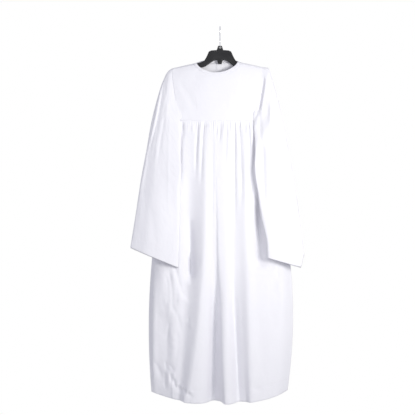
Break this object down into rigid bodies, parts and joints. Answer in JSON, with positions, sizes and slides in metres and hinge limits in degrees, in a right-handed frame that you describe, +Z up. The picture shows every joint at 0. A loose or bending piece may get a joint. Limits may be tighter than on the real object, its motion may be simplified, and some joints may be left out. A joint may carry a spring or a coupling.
{
  "type": "baptismal gown on a clothes hanger",
  "caption": "Long plain baptismal gown with a smooth yoke, gathered skirt and long bell sleeves, hanging on a plastic hanger with a wire hook.",
  "frame": {"origin": "the inside top of the hanger's hook, where the hook lies on a rail", "axes": "+Z up, -Y the gown's front, +X to the right as seen from the front"},
  "size_m": [0.6012, 0.153, 1.3064],
  "materials": {
    "white_cloth": "matt white polyester and cotton poplin, lightly creased",
    "button_plastic": "white pearly plastic",
    "hanger_plastic": "black moulded plastic, satin",
    "hook_chrome": "bright chromed wire"
  },
  "bodies": {
    "root": {"front_yoke": "white_cloth", "back_yoke_left": "white_cloth", "back_yoke_right": "white_cloth", "neck_binding": "white_cloth", "back_button": "button_plastic", "front_skirt": "white_cloth", "back_skirt": "white_cloth", "left_sleeve_front": "white_cloth", "left_sleeve_back": "white_cloth", "right_sleeve_front": "white_cloth", "right_sleeve_back": "white_cloth", "hanger_body": "hanger_plastic", "hanger_hook": "hook_chrome"}
  },
  "joints": []
}
